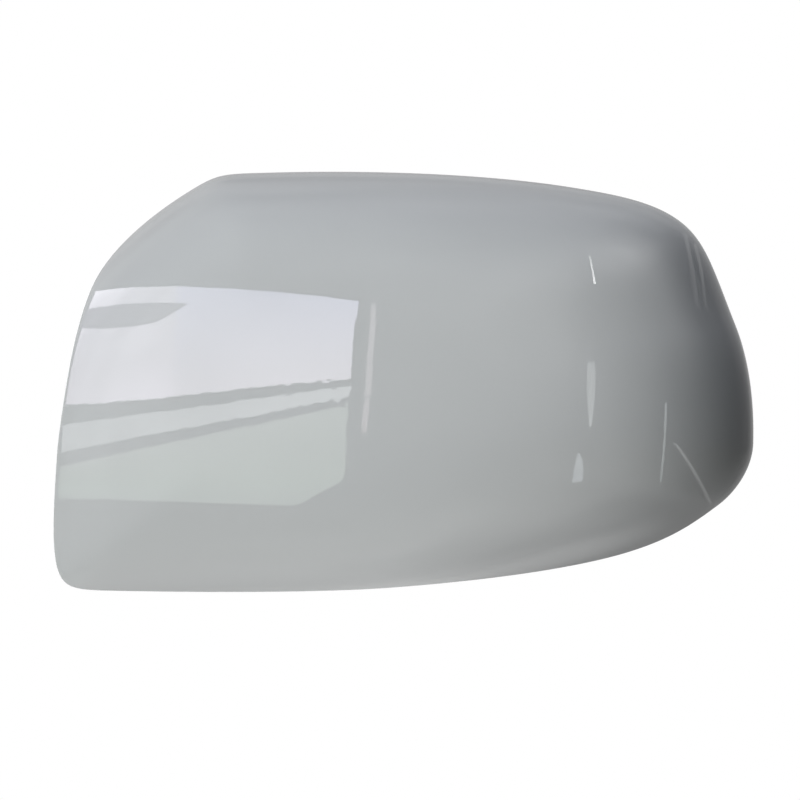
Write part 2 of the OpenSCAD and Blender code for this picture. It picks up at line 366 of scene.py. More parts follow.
class Finish(Graph):
    """A material built round its main shader."""

    def __init__(self, name):
        self.material = bpy.data.materials.new(name)
        self.material.use_nodes = True
        super().__init__(self.material.node_tree)
        self.shader = self.tree.nodes["Principled BSDF"]

    def noise(self, scale, detail=2.0, roughness=0.5):
        place = self.node("ShaderNodeTexCoord", output="Object")
        return self.node(
            "ShaderNodeTexNoise",
            given={"Vector": place, "Scale": scale, "Detail": detail, "Roughness": roughness},
        )

    def mixed(self, share, first, second):
        first, second = [c if isinstance(c, Socket) else (*c, 1.0) for c in (first, second)]
        return self.node(
            "ShaderNodeMix", {"data_type": "RGBA"}, {0: share, 6: first, 7: second}, output=2
        )

    def bump(self, height, depth):
        given = {"Height": height, "Distance": depth, "Strength": 1.0}
        return self.node("ShaderNodeBump", given=given)

    def feed(self, **values):
        """Links or sets sockets of the main shader by their names."""
        for key, value in values.items():
            self.fill(self.shader.inputs[key.replace("_", " ")], value)


def shade(colour, times):
    return tuple(min(1.0, c * times) for c in colour)


def paint_finish():
    """Solid light grey gloss paint with a fine orange peel."""
    if "gloss_grey_paint" in bpy.data.materials:
        return bpy.data.materials["gloss_grey_paint"]
    look = settings().finish
    made = Finish("gloss_grey_paint")
    drift = made.noise(14.0).ramp(0.3, 0.7)
    speck = made.noise(2400.0, 1.0).ramp(0.4, 0.75)
    base = made.mixed(drift, shade(look.paint, 0.985), shade(look.paint, 1.015))
    base = made.mixed(speck * 0.1, base, shade(look.paint, 0.9))
    peel = made.noise(460.0, 0.0)
    made.feed(
        Base_Color=base,
        Roughness=made.noise(30.0).ramp(0.25, 0.75) * 0.01 + 0.008,
        Normal=made.bump(peel, look.peel),
        IOR=1.5,
    )
    return made.material


def moulding_finish():
    """Bare dark moulding with a fine spark texture, and paint mist that fades in from the rim."""
    if "bare_moulding" in bpy.data.materials:
        return bpy.data.materials["bare_moulding"]
    look = settings().finish
    made = Finish("bare_moulding")
    from_rim = made.node("ShaderNodeAttribute", {"attribute_name": "from_rim"}, output="Fac")
    speckle = made.noise(1500.0, 3.0, 0.7)
    cloud = made.noise(60.0, 3.0)
    reach = from_rim / look.mist + (cloud - 0.5) * 0.5 + (speckle - 0.5) * 0.9
    mist = 1.0 - reach.ramp(0.25, 0.9)
    patches = made.noise(35.0, 3.0).ramp(0.3, 0.7)
    base = made.mixed(patches, look.moulding, shade(look.moulding, 1.35))
    made.feed(
        Base_Color=made.mixed(mist, base, shade(look.paint, 0.9)),
        Roughness=made.noise(90.0, 3.0).ramp(0.2, 0.8) * 0.12 - mist * 0.12 + 0.5,
        Normal=made.bump(made.noise(2600.0, 2.0, 0.6), look.grain),
    )
    return made.material


def heading(degrees):
    return np.array([cos(radians(degrees)), sin(radians(degrees))])


def traced_rim(steps=160):
    """The rim seen from the front as a fine chain of points about the crown, in metres."""
    t = (np.arange(steps) / steps)[:, None]
    chain = []
    for a, b in zip(RIM_JOINTS, RIM_JOINTS[1:] + RIM_JOINTS[:1]):
        start, end = np.array(a[:2]), np.array(b[:2])
        leave = start + a[4] * heading(a[2])
        come = end - b[3] * heading(b[2])
        chain.append(
            (1 - t) ** 3 * start
            + 3 * (1 - t) ** 2 * t * leave
            + 3 * (1 - t) * t**2 * come
            + t**3 * end
        )
    return np.concatenate(chain) * MM


def met_rim(rays, turn_worth=1.2 * MM):
    """Rim points at equal steps of length and turn together, so that they gather at corners."""
    fine = traced_rim()
    step = np.roll(fine, -1, 0) - fine
    way = np.unwrap(np.arctan2(step[:, 1], step[:, 0]))
    turn = np.abs(np.degrees(np.diff(way, prepend=way[-1] - 2 * pi)))
    worth = np.linalg.norm(step, axis=1) + turn_worth * (turn + np.roll(turn, -1)) / 2
    walked = np.concatenate([[0], np.cumsum(worth)])
    closed = np.concatenate([fine, fine[:1]])
    at = np.arange(rays) / rays * walked[-1]
    return np.stack([np.interp(at, walked, closed[:, k]) for k in (0, 1)], 1)


def to_part(x, y, z):
    """A place about the crown as a place in the part's frame."""
    return Vector((x - MAIN_PEG[0], y - settings().shape.shoulder, z - MAIN_PEG[1]))


def mesh_object(name, points, faces, edges=()):
    mesh = bpy.data.meshes.new(name)
    mesh.from_pydata([tuple(p) for p in points], list(edges), list(faces))
    mesh.update()
    obj = bpy.data.objects.new(name, mesh)
    bpy.context.scene.collection.objects.link(obj)
    return obj


def grid_faces(rows, columns):
    """Faces of a sheet of points laid row by row."""
    at = [j * (columns + 1) + i for j in range(rows) for i in range(columns)]
    return [(k, k + 1, k + columns + 2, k + columns + 1) for k in at]


def mark(obj, name, values, kind="FLOAT"):
    """Stores values on the points of an object for its node tree or material."""
    stored = obj.data.attributes.new(name, kind, "POINT")
    array = np.asarray(values, np.int32 if kind == "INT" else np.float32)
    stored.data.foreach_set("vector" if kind == "FLOAT_VECTOR" else "value", array.ravel())


def finished(obj, misted=True):
    """Hands a piece to the frame: it rides on the body and stands for the solid."""
    if misted:
        rim = KDTree(len(Rim.edge))
        for i, p in enumerate(Rim.edge):
            rim.insert(p, i)
        rim.balance()
        mark(obj, "from_rim", [rim.find(v.co)[2] for v in obj.data.vertices])
    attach(obj, BODY)
    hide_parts(NODE)


class Rim:
    """The made shell, for what is set against it: rays that hit it and its rim's points."""

    edge = []
    tree = mesh = None

    @classmethod
    def take(cls, shell, first, count):
        mesh = cls.mesh = shell.data
        cls.edge = [mesh.vertices[first + i].co.copy() for i in range(count)]
        cls.tree = BVHTree.FromPolygons(
            [v.co for v in mesh.vertices], [tuple(p.vertices) for p in mesh.polygons]
        )

    @classmethod
    def hit(cls, start, direction):
        place, normal, face, _ = cls.tree.ray_cast(start, direction)
        if place is None:
            raise RuntimeError("a line that should meet the shell misses it")
        return place, normal, face

    @classmethod
    def mirror(cls, start, direction):
        """Where a line of sight meets the smooth shell, and the direction in which it goes on."""
        place, _, face = cls.hit(start, direction)
        corners = [cls.mesh.vertices[i] for i in cls.mesh.polygons[face].vertices]
        weights = poly_3d_calc([v.co for v in corners], place)
        normal = sum((v.normal * w for v, w in zip(corners, weights)), Vector()).normalized()
        return place, direction - 2 * direction.dot(normal) * normal

    @classmethod
    def painted_y(cls, x, z):
        return cls.hit(Vector((x, -1, z)), Vector((0, 1, 0)))[0].y

    @classmethod
    def inner_y(cls, x, z):
        return cls.hit(Vector((x, 1, z)), Vector((0, -1, 0)))[0].y

    @classmethod
    def toward(cls, degrees):
        """Rim point in a direction about the crown."""
        a = radians(degrees)
        crown = to_part(0, 0, 0)

        def off(p):
            d = atan2(p.z - crown.z, p.x - crown.x) - a
            return (d + pi) % (2 * pi) - pi

        near = sorted(cls.edge, key=lambda p: abs(off(p)))[:2]
        a0, a1 = abs(off(near[0])), abs(off(near[1]))
        return near[0].lerp(near[1], a0 / (a0 + a1))


RIM_DEPTHS = ("rim_out", "rim_top", "rim_in", "rim_bottom")
SHELL_LENGTHS = (*RIM_DEPTHS, "crown_r_l", "crown_r_h", "wall", "lip_t", "lip_w")


def shell_tree():
    """The tree that rolls a flat fan of rays into the shell and gives it its wall."""
    tree = Maker("mirror_cover_shell", SHELL_LENGTHS, materials=("paint", "moulding"))
    size = tree.inputs
    span = np.ptp(traced_rim(), axis=0)
    x, _, z = tree.parts(tree.attribute("rim_point", "FLOAT_VECTOR"))
    reach = (x * x + z * z) ** 0.5

    # Share of each side at the ray, cubed so that the corners stay short
    sides = (x / span[0], z / span[1], x / -span[0], z / -span[1])
    shares = [v.above(0.0) ** 3.0 for v in sides]
    whole = shares[0] + shares[1] + shares[2] + shares[3]

    def blend(values):
        first, *rest = [s * v for s, v in zip(shares, values)]
        return sum(rest, first) / whole

    def crown(x, z):
        return x * x / (size["crown_r_l"] * 2.0) + z * z / (size["crown_r_h"] * 2.0)

    # The roll is a power curve. Its flatness is a mean of the sides' own and of the one that
    # brings it to a set drop on the oval.
    turning = blend(TURNING)
    fall = blend([size[k] for k in RIM_DEPTHS]) - crown(x, z)
    a = (x > 0.0) * (OVAL[0] - OVAL[2]) + OVAL[2]
    b = (z > 0.0) * (OVAL[1] - OVAL[3]) + OVAL[3]
    powers = abs(x / reach / a) ** OVAL_POWER + abs(z / reach / b) ** OVAL_POWER
    oval = powers ** (-1 / OVAL_POWER)
    rest = 1.0 - (1.0 - (1.0 - turning**OVAL_FLATNESS) ** 0.5) * OVAL_DROP
    fitted = (1.0 - rest * rest).log() / (turning * oval / reach).log()
    flatness = fitted * OVAL_SHARE + blend(SIDE_FLATNESS) * (1 - OVAL_SHARE)
    last = (turning ** (flatness * 0.5)).called("ARCSINE")
    angle = last * tree.attribute("share") ** (flatness * 0.5)
    out = angle.called("SINE") ** (2.0 / flatness) / turning
    drop = (1.0 - angle.called("COSINE")) / (1.0 - last.called("COSINE"))
    fx, fz = out * x, out * z
    origin = to_part(0, 0, 0)
    place = tree.joined(fx + origin.x, crown(fx, fz) + fall * drop + origin.y, fz + origin.z)

    # The painted skin alone gives the directions into the wall
    wall_only = tree.attribute("turned") > 0.0
    skin = tree.step(
        "DeleteGeometry", {"domain": "POINT"}, geometry=tree.geometry, selection=wall_only
    )
    skin = tree.moved(skin, place)

    def sampled(value, index):
        setting = {"data_type": "FLOAT_VECTOR", "domain": "POINT"}
        index = tree.attribute(index, "INT")
        return tree.step("SampleIndex", setting, geometry=skin, value=value, index=index)

    here = sampled(tree.position(), "under")
    edge = sampled(tree.position(), "edge")
    before = sampled(tree.position(), "before")
    normal = sampled(tree.step("InputNormal"), "under")
    from_rim = tree.vector("DISTANCE", here, edge, output="Value")
    thick = size["lip_t"] + (size["wall"] - size["lip_t"]) * from_rim.ramp(
        size["lip_w"], size["lip_w"] * 1.3
    )
    turned = tree.attribute("turned")
    inward = tree.vector("SCALE", normal, thick * (turned.called("COSINE") - 1.0) * 0.5)
    past = tree.vector("NORMALIZE", tree.vector("SUBTRACT", edge, before))
    beyond = tree.vector("SCALE", past, size["lip_t"] * turned.called("SINE") / 3.0)
    made = tree.moved(tree.geometry, tree.vector("ADD", here, tree.vector("ADD", inward, beyond)))
    made = tree.stored(made, "from_rim", from_rim)
    tree.close(made, [("moulding", True), ("paint", turned < radians(PAINTED_TURN))])
    return tree


class COVER_OT_shell(Operator):
    """Build the shell: the painted face, its rounded rim, the thinned lip and the inner face"""

    bl_idname = "mirror_cover.shell"
    bl_label = "Shell"

    def execute(self, context):
        s = settings().shape
        n, rows = s.rays, s.rows
        rim = met_rim(n)
        gather, nose_step = 1.35, 18
        share = 1 - (1 - np.arange(1, rows + 1) / rows) ** gather
        nose = np.radians(np.arange(nose_step, 180, nose_step))
        tip = rows * n

        # Rings in order: row of the painted skin under each, and the angle turned round the rim
        rings = [(j, 0.0) for j in range(rows)] + [None] + [(rows - 1, a) for a in nose]
        rings += [(j, pi) for j in range(rows - 1, -1, -1)] + [None]
        points, faces, ring_start = [], [], []
        kinds = {"rim_point": "FLOAT_VECTOR", "share": "FLOAT", "turned": "FLOAT"}
        kinds |= {"under": "INT", "edge": "INT", "before": "INT"}
        marks = {key: [] for key in kinds}
        ray = np.arange(n)

        def add(under, edge, q, level, turned):
            points.extend((p[0] * level, 0.0, p[1] * level) for p in q)
            flat = [(p[0], 0.0, p[1]) for p in q]
            row = flat, [level] * len(q), [turned] * len(q), under, edge, edge - n
            for values, more in zip(marks.values(), row):
                values.extend(more)

        for ring in rings:
            ring_start.append(len(points))
            if ring is None:
                turned = pi if len(points) > tip else 0.0
                add([tip], np.array([tip - n]), rim[:1], 0.0, turned)
            else:
                add(ring[0] * n + ray, tip - n + ray, rim, share[ring[0]], ring[1])
        whole = [at for at, ring in zip(ring_start, rings) if ring]
        after = np.roll(ray, -1)
        for a, b in zip(whole, whole[1:]):
            faces.extend(zip(a + ray, b + ray, b + after, a + after))
        faces.extend((tip, i, k) for i, k in zip(ray, after))
        faces.extend((len(points) - 1, whole[-1] + k, whole[-1] + i) for i, k in zip(ray, after))
        shell = mesh_object("painted_shell", points, [tuple(map(int, f)) for f in faces])
        for key, values in marks.items():
            mark(shell, key, values, kinds[key])
        sizes = {k: getattr(s, k) for k in SHELL_LENGTHS}
        shell_tree().run(shell, paint=paint_finish(), moulding=moulding_finish(), **sizes)
        for key in marks:
            shell.data.attributes.remove(shell.data.attributes[key])
        Rim.take(shell, tip - n, n)
        finished(shell, misted=False)
        return {"FINISHED"}


def ribs_tree():
    """The tree that lays straight lines on the inner face and gives them a rib's section."""
    tree = Maker("mirror_cover_ribs", ("height", "thickness", "sink"), objects=("shell",))
    size = tree.inputs
    hit = tree.step(
        "Raycast",
        output="Hit Position",
        target_geometry=tree.of_object("shell"),
        source_position=tree.position(),
        ray_direction=(0, -1, 0),
        ray_length=1.0,
    )
    lines = tree.moved(tree.geometry, hit)
    lines = tree.stored(lines, "foot", tree.parts(tree.position())[1])
    lines = tree.step("MeshToCurve", mesh=lines)
    across = tree.attribute("across", "FLOAT_VECTOR")
    lines = tree.step("SetCurveNormal", {"mode": "FREE"}, curve=lines, normal=across)
    section = tree.step(
        "CurvePrimitiveQuadrilateral",
        {"mode": "TRAPEZOID"},
        bottom_width=size["thickness"],
        top_width=size["thickness"] * RIB_TOP,
        height=size["height"] + size["sink"],
        offset=0.0,
    )
    rounding = size["thickness"] * RIB_ROUNDING
    section = tree.step(
        "FilletCurve", {"mode": "POLY"}, curve=section, count=3, radius=rounding, limit_radius=True
    )
    raised = tree.joined(0.0, (size["height"] - size["sink"]) * 0.5, 0.0)
    section = tree.step("Transform", geometry=section, translation=raised)
    made = tree.step("CurveToMesh", curve=lines, profile_curve=section, fill_caps=True)
    x, y, z = tree.parts(tree.position())
    above = (y - tree.attribute("foot")).above(0.0)
    lowered = y - above * (1.0 - tree.attribute("rise"))
    tree.close(tree.moved(made, tree.joined(x, lowered, z)))
    return tree


class COVER_OT_ribs(Operator):
    """Build the low ribs that stiffen the inner face"""

    bl_idname = "mirror_cover.ribs"
    bl_label = "Ribs"

    def execute(self, context):
        s, step, before_face = settings().fittings, 0.0015, 0.1
        points, edges, rise, across = [], [], [], []
        ribs = [(at, UPRIGHT_RIBS[1], True) for at in UPRIGHT_RIBS[0]]
        ribs += [(at, LONG_RIBS[1], False) for at in LONG_RIBS[0]]
        for at, (low, high), upright in ribs:
            first = len(points)
            for along in np.linspace(low, high, int((high - low) / step)):
                x, z = (at, along) if upright else (along, at)
                points.append(to_part(x, before_face, z))
                fade = min(1, (along - low) / RIB_FADE, (high - along) / RIB_FADE)
                rise.append(RIB_END + (1 - RIB_END) * fade)
                across.append((1, 0, 0) if upright else (0, 0, -1))
            edges += [(i, i + 1) for i in range(first, len(points) - 1)]
        ribs = mesh_object("inner_ribs", points, [], edges)
        mark(ribs, "rise", rise)
        mark(ribs, "across", across, "FLOAT_VECTOR")
        sizes = {"height": s.rib_h, "thickness": s.rib_t, "sink": settings().shape.wall / 2}
        shell = bpy.data.objects["painted_shell"]
        ribs_tree().run(ribs, **sizes, shell=shell, moulding=moulding_finish())
        finished(ribs)
        return {"FINISHED"}


def turned_profile(points, faces, centre, profile, steps=64):
    """Adds a turned solid about a line along +Y. Rows marked as feet follow the shell's face."""
    start = len(points)
    level = Rim.painted_y(centre.x, centre.z)
    for y, r, foot in profile:
        for t in np.arange(steps) / steps * 2 * pi:
            x, z = centre.x + r * cos(t), centre.z + r * sin(t)
            points.append(Vector((x, y + (Rim.painted_y(x, z) - level if foot else 0), z)))
    for row in range(len(profile) - 1):
        for i in range(steps):
            k = (i + 1) % steps
            low, high = start + row * steps, start + (row + 1) * steps
            faces.append((low + i, high + i, high + k, low + k))
    faces.append(tuple(start + i for i in range(steps)))
    faces.append(tuple(start + (len(profile) - 1) * steps + i for i in reversed(range(steps))))


def plate(points, faces, outline, middle, across, thick):
    """Adds a flat plate with its outline on both sides of a middle plane."""
    start, n = len(points), len(outline)
    for side in (-1, 1):
        points += [middle + p + across * (side * thick / 2) for p in outline]
    faces.append(tuple(start + i for i in range(n)))
    faces.append(tuple(start + n + i for i in reversed(range(n))))
    for i in range(n):
        k = (i + 1) % n
        faces.append((start + i, start + n + i, start + n + k, start + k))


def dulled(obj, width):
    """Rounds the sharp edges, turns all faces outward and shades flat faces flat."""
    shape = bmesh.new()
    shape.from_mesh(obj.data)
    bmesh.ops.recalc_face_normals(shape, faces=shape.faces)
    limit = radians(ROUNDED_ANGLE)
    edges = [e for e in shape.edges if e.is_manifold and e.calc_face_angle() > limit]
    how = {"segments": 2, "affect": "EDGES", "clamp_overlap": True, "profile": 0.5}
    bmesh.ops.bevel(shape, geom=edges, offset=width, **how)
    bmesh.ops.recalc_face_normals(shape, faces=shape.faces)
    shape.to_mesh(obj.data)
    shape.free()
    obj.data.polygons.foreach_set("use_smooth", [True] * len(obj.data.polygons))
    obj.data.set_sharp_from_angle(angle=radians(SHARP_ANGLE))


class COVER_OT_pegs(Operator):
    """Build the two locating pegs on their gusseted bosses"""

    bl_idname = "mirror_cover.pegs"
    bl_label = "Pegs"

    def execute(self, context):
        f, s = settings().fittings, settings().shape
        points, faces = [], []
        for (x, z), r in ((MAIN_PEG, f.peg_r), (SECOND_PEG, f.peg_2_r)):
            foot = to_part(x, 0, z)
            low = Rim.painted_y(foot.x, foot.z) + s.wall / 2
            floor = Rim.inner_y(foot.x, foot.z)
            foot_r = f.boss_r + BOSS_ROUNDING
            profile = [(low, foot_r, True)]
            for a in np.radians(np.arange(0, 91, 15)):
                up, out = BOSS_ROUNDING * (1 - cos(a)), BOSS_ROUNDING * (1 - sin(a))
                profile.append((floor + up, f.boss_r + out, True))
            profile += [
                (0.0, f.boss_r, False),
                (0.0, r + SHOULDER_EDGE, False),
                (SHOULDER_EDGE, r, False),
                (f.peg_len, r, False),
                (f.peg_len + f.peg_tip, r - PEG_TAPER, False),
            ]
            turned_profile(points, faces, foot, profile)
            reach = f.boss_r + GUSSET_REACH
            for a in np.radians(GUSSET_DIRECTIONS):
                out = Vector((cos(a), 0, sin(a)))
                near, far = foot + out * f.boss_r / 2, foot + out * reach
                near_low = Rim.painted_y(near.x, near.z) + s.wall / 2
                far_low = Rim.painted_y(far.x, far.z) + s.wall / 2
                outline = [
                    out * f.boss_r / 2 + Vector((0, near_low, 0)),
                    out * reach + Vector((0, far_low, 0)),
                    out * reach + Vector((0, far_low + s.wall / 2 + GUSSET_END, 0)),
                    out * (f.boss_r - GUSSET_INSET) + Vector((0, GUSSET_TOP, 0)),
                    out * f.boss_r / 2 + Vector((0, GUSSET_TOP, 0)),
                ]
                across = out.cross(Vector((0, 1, 0)))
                plate(points, faces, outline, Vector((foot.x, 0, foot.z)), across, f.gusset_t)
        pegs = mesh_object("locating_pegs", points, faces)
        pegs.data.materials.append(moulding_finish())
        dulled(pegs, PEG_BEVEL)
        finished(pegs)
        return {"FINISHED"}


def hooks_tree():
    """The tree that sets a tongue beside the rim at each point and cuts its root to length."""
    tree = Maker("mirror_cover_hooks", objects=("tongue",))
    turn = tree.node(
        "FunctionNodeAxesToRotation",
        {"primary_axis": "X", "secondary_axis": "Y"},
        {0: tree.attribute("outward", "FLOAT_VECTOR"), 1: (0, 1, 0)},
    )
    tongue = tree.of_object("tongue")
    made = tree.step("InstanceOnPoints", points=tree.geometry, instance=tongue, rotation=turn)
    made = tree.step("RealizeInstances", geometry=made)
    x, y, z = tree.parts(tree.position())
    made = tree.moved(made, tree.joined(x, y.above(tree.attribute("root")), z))
    tree.close(made)
    return tree


class COVER_OT_hooks(Operator):
    """Build the hooks: a tongue with a barb on two webs, eight times round the rim"""

    bl_idname = "mirror_cover.hooks"
    bl_label = "Hooks"

    def execute(self, context):
        f, s = settings().fittings, settings().shape
        set_in, before_wall = s.wall + f.hook_gap + f.hook_t, 0.025
        points, faces, tips, outward, roots = [], [], [], [], []
        for degrees in HOOK_DIRECTIONS:
            q = Rim.toward(degrees)
            tangent = Rim.toward(degrees + 1) - Rim.toward(degrees - 1)
            tangent.y = 0
            tangent.normalize()
            out = Vector((tangent.z, 0, -tangent.x))
            corners = [
                q - out * (set_in - step) + tangent * (side * f.hook_w / 2)
                for side in (-1, 1)
                for step in (0, f.hook_t)
            ]
            wall_y = max(Rim.painted_y(c.x, c.z) for c in corners)
            root = max(q.y - f.hook_root, wall_y + s.wall / 2)
            tips.append(q - out * set_in + Vector((0, f.hook_past, 0)))
            outward.append(out)
            roots.append(root)
            for side in (-1, 1):
                foot = q + tangent * (side * (f.hook_w / 2 - WEB_THICKNESS / 2 - WEB_INSET))
                base = Vector((foot.x, 0, foot.z))
                high = q.y - WEB_END
                outline = []
                for y in np.linspace(root - s.wall * 0.6, high, 5):
                    start = base - out * before_wall + Vector((0, float(y), 0))
                    hit, normal, _ = Rim.hit(start, out)
                    outline.append(hit - base - normal * s.wall / 2)
                inner = -out * (set_in - f.hook_t / 2)
                for y in (max(high, root + MM), root):
                    outline.append(inner + Vector((0, y, 0)))
                plate(points, faces, outline, base, tangent, WEB_THICKNESS)
        webs = mesh_object("hook_webs", points, faces)
        webs.data.materials.append(moulding_finish())
        dulled(webs, WEB_BEVEL)
        finished(webs)

        corner, slope, under = 0.0006, 0.0008, 0.0005
        tip = [(f.hook_t, -corner), (f.hook_t - corner, 0), (0, 0)]
        back = -BARB_LENGTH
        barb = [(-f.barb, back + slope), (-f.barb, back), (0, back - under)]
        section = [(0, -TONGUE_LENGTH), (f.hook_t, -TONGUE_LENGTH), *tip, *barb]
        points, faces = [], []
        outline = [Vector((x, y, 0)) for x, y in section]
        plate(points, faces, outline, Vector(), Vector((0, 0, 1)), f.hook_w)
        tongue = mesh_object("tongue", points, faces)
        dulled(tongue, TONGUE_BEVEL)
        hooks = mesh_object("hook_tongues", tips, [])
        mark(hooks, "outward", outward, "FLOAT_VECTOR")
        mark(hooks, "root", roots)
        hooks_tree().run(hooks, tongue=tongue, moulding=moulding_finish())
        bpy.data.objects.remove(tongue)
        finished(hooks)
        return {"FINISHED"}


def direction(azimuth, height):
    """Way from the object, in degrees to the right of the lens and above it."""
    a, h = radians(azimuth), radians(height)
    return Vector((sin(a) * cos(h), -cos(a) * cos(h), sin(h)))


def picture_ray(u, v):
    """Direction from the lens through a point of the picture."""
    return Vector(
        ((u - PICTURE_CENTRE[0]) / PICTURE_SCALE, 1.0, (PICTURE_CENTRE[1] - v) / PICTURE_SCALE)
    ).normalized()


def glow(name):
    """Light whose colour each point carries, with slow clouds, for what the paint mirrors."""
    made = Finish(name)
    carried = made.node("ShaderNodeAttribute", {"attribute_name": "light"}, output="Color")
    cloud = made.noise(1.3, 3.0, 0.45).ramp(0.3, 0.7) * 0.16 + 0.92
    made.feed(
        Base_Color=(0, 0, 0, 1),
        Roughness=1.0,
        Specular_IOR_Level=0.0,
        Emission_Color=made.vector("SCALE", carried, cloud),
        Emission_Strength=1.0,
    )
    return made.material


def only_mirrored(obj, light, material):
    """Makes a piece of the room that shows in the paint alone."""
    mark(obj, "light", light, "FLOAT_VECTOR")
    obj.data.materials.append(material)
    obj.visible_camera = obj.visible_diffuse = False
    obj.visible_shadow = obj.visible_transmission = False


# What the paint mirrors: rows of points at which each pane shows in the picture, from its upper to
# its lower edge, then the light at those edges and the share of it at the left edge
WALL = (1.4, 1.4, 1.45)
PANES = {
    "wall_round_window": (
        (((95.5, 292), (235, 289), (356, 301)), ((60, 497), (180, 501), (343, 490))),
        (WALL, WALL, 1.0),
    ),
    "window_left": (
        (
            ((95.5, 291.5), (131.8, 287.4), (178, 286.5)),
            ((76.8, 346), (125, 343.5), (176, 341.4)),
            ((65.5, 405), (118, 402), (174, 396.4)),
        ),
        ((5.9, 5.75, 6.15), (8.1, 7.6, 8.4), 0.6),
    ),
    "window_right": (
        (
            ((176, 286.5), (268, 291.3), (358, 301)),
            ((174, 341.5), (263, 338), (352.6, 340)),
            ((172, 396.6), (262, 387), (351, 378.5)),
        ),
        ((6.0, 6.0, 7.2), (7.7, 7.3, 7.9), 0.95),
    ),
    "roof_edge": (
        (((88, 309), (140, 303), (188, 304)), ((80, 328), (116, 328), (158, 322))),
        ((2.7, 2.6, 2.8), (2.6, 2.5, 2.7), 0.7),
    ),
    "light_strip": (
        (((62.5, 425), (351, 386)), ((61.5, 452), (351, 396.5))),
        ((5.0, 5.1, 5.2), (5.2, 5.3, 5.4), 0.66),
    ),
    "green_pane": (
        (((60.5, 466.5), (348, 404.3)), ((58.5, 484), (345, 479))),
        ((3.5, 3.75, 3.5), (3.1, 3.5, 3.1), 0.7),
    ),
    "green_sill": (
        (((58.5, 484), (345, 479)), ((58.5, 497.5), (295, 506))),
        ((2.95, 3.4, 3.0), (2.8, 3.1, 2.85), 0.85),
    ),
}

# Narrow panes: rows of left edge, right edge and height in the picture, then the light at the
# upper and the lower end
STREAKS = {
    "bar_upper": (((371, 377, 304), (364.5, 370.5, 395)), (3.7, 3.5, 3.6), (4.0, 3.7, 3.8)),
    "bar_lower": (((364, 370, 398), (361.5, 367.5, 433)), (4.0, 3.7, 3.8), (4.0, 3.5, 3.6)),
    "lamp_thin": (
        ((588.6, 590.2, 256), (591.5, 593.3, 270), (593.6, 596.2, 284)),
        (7.5, 7.7, 7.5), (13.5, 13.5, 13.5),
    ),
    "lamp_wide": (
        ((587.5, 595, 362), (587, 595, 393), (589.5, 591.5, 426)),
        (3.8, 3.9, 3.9), (4.4, 4.5, 4.5),
    ),
    "lamp_drop": (
        ((577.5, 580, 453), (574, 583.5, 468), (571.5, 581.5, 482)),
        (4.1, 4.3, 4.4), (4.1, 4.3, 4.5),
    ),
    "lamp_far": (
        ((664.9, 667.1, 403), (663.1, 665.3, 444), (659.3, 661.5, 482)),
        (3.1, 3.2, 3.2), (2.7, 2.9, 2.9),
    ),
    "far_slant": (
        ((673, 676.5, 443), (691, 695, 470), (708.5, 712, 503)),
        (2.2, 2.2, 2.2), (0.55, 0.55, 0.55),
    ),
    "far_upper": (
        ((683, 687, 234), (690, 694, 268), (695, 699, 306)),
        (0.75, 0.75, 0.75), (0.65, 0.65, 0.65),
    ),
    "far_edge": (
        ((693, 696, 244), (700, 703, 272), (704, 707, 308)),
        (0.7, 0.7, 0.7), (0.6, 0.6, 0.6),
    ),
}

# How much nearer than their wall the panes lie, as a share of its distance
NEARER = {"wall_round_window": 0.0, "roof_edge": 0.08}
NEARER_ELSEWHERE = 0.04

# The room's radius in metres, and the levels of its walls where those in front and left are 1
ROOM_RADIUS = 3.2
LEVEL_BEHIND = 0.46
LEVEL_ABOVE = 2.0
LEVEL_BELOW = 2.54

# Lamps: direction from the object, to the right of the lens and above it in degrees, size in
# metres, power in watts and colour
LAMPS = (
    ("key", -30, 0, 1.75, 61.8, (1.0, 1.0, 1.0)),
    ("over", 0, 75, 1.75, 19.4, (0.95, 1.0, 1.17)),
    ("under", 0, -75, 1.75, 10.0, (1.0, 1.0, 1.0)),
    ("behind", 180, 12, 0.9, 28.0, (1.0, 1.0, 1.0)),
)

# Soft lights on the room's walls: direction, how tight and how bright
WALL_LIGHTS = (
    ((40.5, 21.9), 7.4, 1.88),
    ((45.0, -45.8), 7.7, 1.59),
    ((83.8, 35.6), 21.5, 2.19),
    ((163.3, -56.9), 26.3, 1.15),
    ((229.6, -3.6), 13.2, 2.6),
)


def through(points, t):
    """A place at a share of the smooth curve through two or three evenly spaced points."""
    if len(points) == 2:
        return points[0] * (1 - t) + points[1] * t
    first, middle, last = points
    return first * (1 - t) * (1 - 2 * t) + middle * 4 * t * (1 - t) + last * t * (2 * t - 1)


